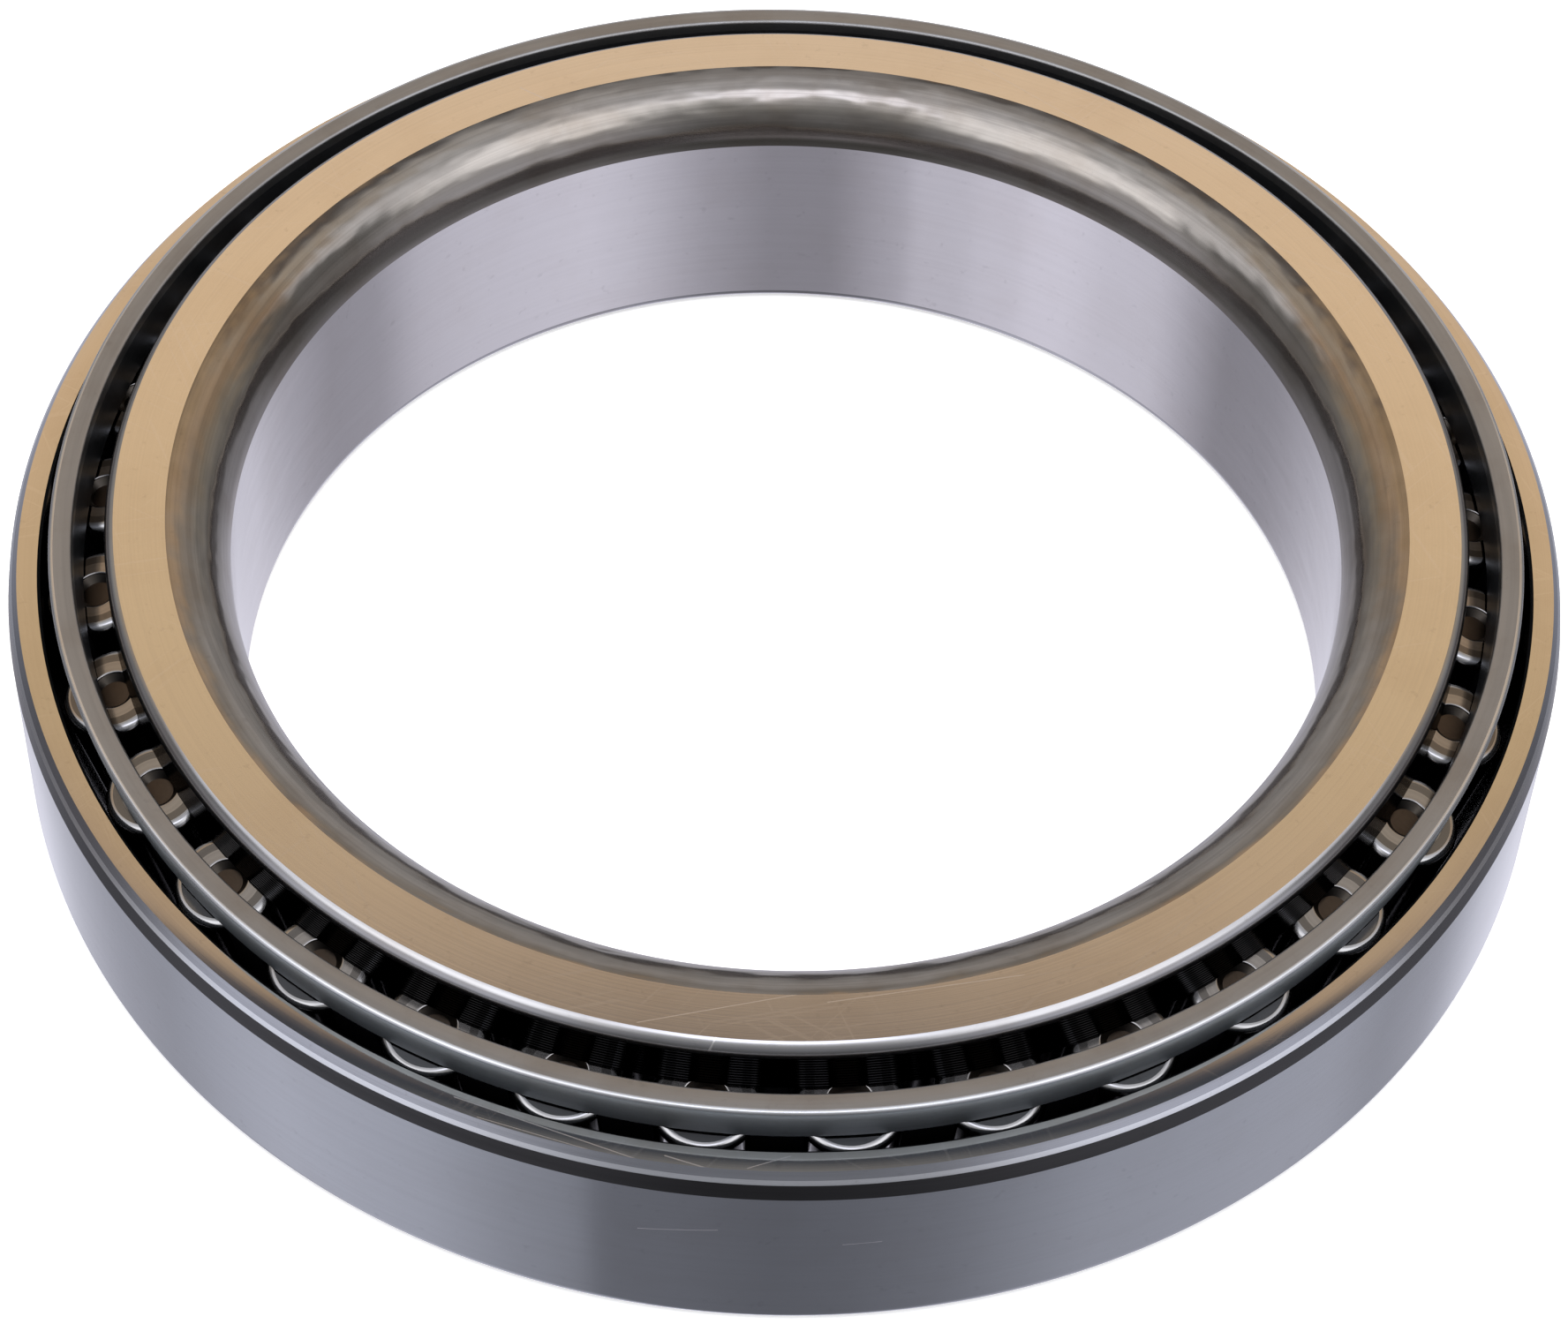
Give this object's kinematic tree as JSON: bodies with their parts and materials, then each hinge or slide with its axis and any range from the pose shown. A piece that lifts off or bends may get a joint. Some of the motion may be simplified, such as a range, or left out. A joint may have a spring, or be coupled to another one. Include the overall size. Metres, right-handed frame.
{
  "type": "tapered roller bearing",
  "caption": "Single-row tapered roller bearing: an outer ring, a thicker inner ring with a large bore corner, a pressed steel cage and tapered rollers.",
  "frame": {"origin": "on the bearing axis, in the plane that the cup's back face and the cone's front face share", "axes": "+Z along the bearing axis, from the cup's back face towards the cone's back face and its large rib; +X and +Y are any two directions across it"},
  "size_m": [0.105, 0.105, 0.02],
  "materials": {
    "cup_steel": "hardened bearing steel, turned and ground",
    "cone_steel": "hardened bearing steel, ground",
    "cage_steel": "pressed sheet steel, dull",
    "roller_steel": "hardened bearing steel, fine ground"
  },
  "bodies": {
    "cup": {"cup_outer_ring": "cup_steel"},
    "cone": {"cone_inner_ring": "cone_steel"},
    "cage": {"cage": "cage_steel"},
    "roller_01": {"roller_01": "roller_steel"},
    "roller_02": {"roller_02": "roller_steel"},
    "roller_03": {"roller_03": "roller_steel"},
    "roller_04": {"roller_04": "roller_steel"},
    "roller_05": {"roller_05": "roller_steel"},
    "roller_06": {"roller_06": "roller_steel"},
    "roller_07": {"roller_07": "roller_steel"},
    "roller_08": {"roller_08": "roller_steel"},
    "roller_09": {"roller_09": "roller_steel"},
    "roller_10": {"roller_10": "roller_steel"},
    "roller_11": {"roller_11": "roller_steel"},
    "roller_12": {"roller_12": "roller_steel"},
    "roller_13": {"roller_13": "roller_steel"},
    "roller_14": {"roller_14": "roller_steel"},
    "roller_15": {"roller_15": "roller_steel"},
    "roller_16": {"roller_16": "roller_steel"},
    "roller_17": {"roller_17": "roller_steel"},
    "roller_18": {"roller_18": "roller_steel"},
    "roller_19": {"roller_19": "roller_steel"},
    "roller_20": {"roller_20": "roller_steel"},
    "roller_21": {"roller_21": "roller_steel"},
    "roller_22": {"roller_22": "roller_steel"},
    "roller_23": {"roller_23": "roller_steel"},
    "roller_24": {"roller_24": "roller_steel"},
    "roller_25": {"roller_25": "roller_steel"},
    "roller_26": {"roller_26": "roller_steel"},
    "roller_27": {"roller_27": "roller_steel"},
    "roller_28": {"roller_28": "roller_steel"},
    "roller_29": {"roller_29": "roller_steel"},
    "roller_30": {"roller_30": "roller_steel"},
    "roller_31": {"roller_31": "roller_steel"},
    "roller_32": {"roller_32": "roller_steel"},
    "roller_33": {"roller_33": "roller_steel"}
  },
  "joints": [
    {"name": "cone_spin", "type": "hinge", "parent": "cup", "child": "cone", "pos_m": [0, 0, 0.01], "axis": [0, 0, 1], "continuous": true},
    {"name": "cage_orbit", "type": "hinge", "parent": "cup", "child": "cage", "pos_m": [0, 0, 0.01], "axis": [0, 0, 1], "continuous": true},
    {"name": "roller_01_spin", "type": "hinge", "parent": "cage", "child": "roller_01", "pos_m": [0.04513, 0.00284, 0.00914], "axis": [0.2013, 0.0127, 0.9794], "continuous": true},
    {"name": "roller_02_spin", "type": "hinge", "parent": "cage", "child": "roller_02", "pos_m": [0.04378, 0.01133, 0.00914], "axis": [0.1953, 0.0505, 0.9794], "continuous": true},
    {"name": "roller_03_spin", "type": "hinge", "parent": "cage", "child": "roller_03", "pos_m": [0.04084, 0.01941, 0.00914], "axis": [0.1822, 0.0866, 0.9794], "continuous": true},
    {"name": "roller_04_spin", "type": "hinge", "parent": "cage", "child": "roller_04", "pos_m": [0.03643, 0.02679, 0.00914], "axis": [0.1625, 0.1195, 0.9794], "continuous": true},
    {"name": "roller_05_spin", "type": "hinge", "parent": "cage", "child": "roller_05", "pos_m": [0.0307, 0.0332, 0.00914], "axis": [0.137, 0.1481, 0.9794], "continuous": true},
    {"name": "roller_06_spin", "type": "hinge", "parent": "cage", "child": "roller_06", "pos_m": [0.02387, 0.03841, 0.00914], "axis": [0.1065, 0.1713, 0.9794], "continuous": true},
    {"name": "roller_07_spin", "type": "hinge", "parent": "cage", "child": "roller_07", "pos_m": [0.01617, 0.04223, 0.00914], "axis": [0.0721, 0.1884, 0.9794], "continuous": true},
    {"name": "roller_08_spin", "type": "hinge", "parent": "cage", "child": "roller_08", "pos_m": [0.00788, 0.04453, 0.00914], "axis": [0.0352, 0.1986, 0.9794], "continuous": true},
    {"name": "roller_09_spin", "type": "hinge", "parent": "cage", "child": "roller_09", "pos_m": [-0.00069, 0.04522, 0.00914], "axis": [-0.0031, 0.2017, 0.9794], "continuous": true},
    {"name": "roller_10_spin", "type": "hinge", "parent": "cage", "child": "roller_10", "pos_m": [-0.00923, 0.04427, 0.00914], "axis": [-0.0412, 0.1975, 0.9794], "continuous": true},
    {"name": "roller_11_spin", "type": "hinge", "parent": "cage", "child": "roller_11", "pos_m": [-0.01744, 0.04172, 0.00914], "axis": [-0.0778, 0.1861, 0.9794], "continuous": true},
    {"name": "roller_12_spin", "type": "hinge", "parent": "cage", "child": "roller_12", "pos_m": [-0.02503, 0.03767, 0.00914], "axis": [-0.1116, 0.168, 0.9794], "continuous": true},
    {"name": "roller_13_spin", "type": "hinge", "parent": "cage", "child": "roller_13", "pos_m": [-0.0317, 0.03225, 0.00914], "axis": [-0.1414, 0.1439, 0.9794], "continuous": true},
    {"name": "roller_14_spin", "type": "hinge", "parent": "cage", "child": "roller_14", "pos_m": [-0.03723, 0.02567, 0.00914], "axis": [-0.1661, 0.1145, 0.9794], "continuous": true},
    {"name": "roller_15_spin", "type": "hinge", "parent": "cage", "child": "roller_15", "pos_m": [-0.04142, 0.01816, 0.00914], "axis": [-0.1847, 0.081, 0.9794], "continuous": true},
    {"name": "roller_16_spin", "type": "hinge", "parent": "cage", "child": "roller_16", "pos_m": [-0.0441, 0.00999, 0.00914], "axis": [-0.1967, 0.0446, 0.9794], "continuous": true},
    {"name": "roller_17_spin", "type": "hinge", "parent": "cage", "child": "roller_17", "pos_m": [-0.0452, 0.00146, 0.00914], "axis": [-0.2016, 0.0065, 0.9794], "continuous": true},
    {"name": "roller_18_spin", "type": "hinge", "parent": "cage", "child": "roller_18", "pos_m": [-0.04466, -0.00712, 0.00914], "axis": [-0.1992, -0.0317, 0.9794], "continuous": true},
    {"name": "roller_19_spin", "type": "hinge", "parent": "cage", "child": "roller_19", "pos_m": [-0.0425, -0.01544, 0.00914], "axis": [-0.1896, -0.0689, 0.9794], "continuous": true},
    {"name": "roller_20_spin", "type": "hinge", "parent": "cage", "child": "roller_20", "pos_m": [-0.03881, -0.0232, 0.00914], "axis": [-0.1731, -0.1035, 0.9794], "continuous": true},
    {"name": "roller_21_spin", "type": "hinge", "parent": "cage", "child": "roller_21", "pos_m": [-0.03372, -0.03013, 0.00914], "axis": [-0.1504, -0.1344, 0.9794], "continuous": true},
    {"name": "roller_22_spin", "type": "hinge", "parent": "cage", "child": "roller_22", "pos_m": [-0.02741, -0.03597, 0.00914], "axis": [-0.1223, -0.1604, 0.9794], "continuous": true},
    {"name": "roller_23_spin", "type": "hinge", "parent": "cage", "child": "roller_23", "pos_m": [-0.02011, -0.04051, 0.00914], "axis": [-0.0897, -0.1807, 0.9794], "continuous": true},
    {"name": "roller_24_spin", "type": "hinge", "parent": "cage", "child": "roller_24", "pos_m": [-0.01208, -0.04358, 0.00914], "axis": [-0.0539, -0.1944, 0.9794], "continuous": true},
    {"name": "roller_25_spin", "type": "hinge", "parent": "cage", "child": "roller_25", "pos_m": [-0.00361, -0.04508, 0.00914], "axis": [-0.0161, -0.2011, 0.9794], "continuous": true},
    {"name": "roller_26_spin", "type": "hinge", "parent": "cage", "child": "roller_26", "pos_m": [0.00498, -0.04495, 0.00914], "axis": [0.0222, -0.2005, 0.9794], "continuous": true},
    {"name": "roller_27_spin", "type": "hinge", "parent": "cage", "child": "roller_27", "pos_m": [0.0134, -0.04319, 0.00914], "axis": [0.0598, -0.1927, 0.9794], "continuous": true},
    {"name": "roller_28_spin", "type": "hinge", "parent": "cage", "child": "roller_28", "pos_m": [0.02133, -0.03987, 0.00914], "axis": [0.0952, -0.1779, 0.9794], "continuous": true},
    {"name": "roller_29_spin", "type": "hinge", "parent": "cage", "child": "roller_29", "pos_m": [0.02849, -0.03512, 0.00914], "axis": [0.1271, -0.1566, 0.9794], "continuous": true},
    {"name": "roller_30_spin", "type": "hinge", "parent": "cage", "child": "roller_30", "pos_m": [0.03462, -0.02909, 0.00914], "axis": [0.1544, -0.1298, 0.9794], "continuous": true},
    {"name": "roller_31_spin", "type": "hinge", "parent": "cage", "child": "roller_31", "pos_m": [0.0395, -0.02201, 0.00914], "axis": [0.1762, -0.0982, 0.9794], "continuous": true},
    {"name": "roller_32_spin", "type": "hinge", "parent": "cage", "child": "roller_32", "pos_m": [0.04295, -0.01414, 0.00914], "axis": [0.1916, -0.0631, 0.9794], "continuous": true},
    {"name": "roller_33_spin", "type": "hinge", "parent": "cage", "child": "roller_33", "pos_m": [0.04485, -0.00575, 0.00914], "axis": [0.2001, -0.0257, 0.9794], "continuous": true}
  ],
  "couplings": [
    {"joint": "cage_orbit", "follows": "cone_spin", "ratio": 0.46344},
    {"joint": "roller_01_spin", "follows": "cone_spin", "ratio": -6.6624},
    {"joint": "roller_02_spin", "follows": "cone_spin", "ratio": -6.6624},
    {"joint": "roller_03_spin", "follows": "cone_spin", "ratio": -6.6624},
    {"joint": "roller_04_spin", "follows": "cone_spin", "ratio": -6.6624},
    {"joint": "roller_05_spin", "follows": "cone_spin", "ratio": -6.6624},
    {"joint": "roller_06_spin", "follows": "cone_spin", "ratio": -6.6624},
    {"joint": "roller_07_spin", "follows": "cone_spin", "ratio": -6.6624},
    {"joint": "roller_08_spin", "follows": "cone_spin", "ratio": -6.6624},
    {"joint": "roller_09_spin", "follows": "cone_spin", "ratio": -6.6624},
    {"joint": "roller_10_spin", "follows": "cone_spin", "ratio": -6.6624},
    {"joint": "roller_11_spin", "follows": "cone_spin", "ratio": -6.6624},
    {"joint": "roller_12_spin", "follows": "cone_spin", "ratio": -6.6624},
    {"joint": "roller_13_spin", "follows": "cone_spin", "ratio": -6.6624},
    {"joint": "roller_14_spin", "follows": "cone_spin", "ratio": -6.6624},
    {"joint": "roller_15_spin", "follows": "cone_spin", "ratio": -6.6624},
    {"joint": "roller_16_spin", "follows": "cone_spin", "ratio": -6.6624},
    {"joint": "roller_17_spin", "follows": "cone_spin", "ratio": -6.6624},
    {"joint": "roller_18_spin", "follows": "cone_spin", "ratio": -6.6624},
    {"joint": "roller_19_spin", "follows": "cone_spin", "ratio": -6.6624},
    {"joint": "roller_20_spin", "follows": "cone_spin", "ratio": -6.6624},
    {"joint": "roller_21_spin", "follows": "cone_spin", "ratio": -6.6624},
    {"joint": "roller_22_spin", "follows": "cone_spin", "ratio": -6.6624},
    {"joint": "roller_23_spin", "follows": "cone_spin", "ratio": -6.6624},
    {"joint": "roller_24_spin", "follows": "cone_spin", "ratio": -6.6624},
    {"joint": "roller_25_spin", "follows": "cone_spin", "ratio": -6.6624},
    {"joint": "roller_26_spin", "follows": "cone_spin", "ratio": -6.6624},
    {"joint": "roller_27_spin", "follows": "cone_spin", "ratio": -6.6624},
    {"joint": "roller_28_spin", "follows": "cone_spin", "ratio": -6.6624},
    {"joint": "roller_29_spin", "follows": "cone_spin", "ratio": -6.6624},
    {"joint": "roller_30_spin", "follows": "cone_spin", "ratio": -6.6624},
    {"joint": "roller_31_spin", "follows": "cone_spin", "ratio": -6.6624},
    {"joint": "roller_32_spin", "follows": "cone_spin", "ratio": -6.6624},
    {"joint": "roller_33_spin", "follows": "cone_spin", "ratio": -6.6624}
  ]
}
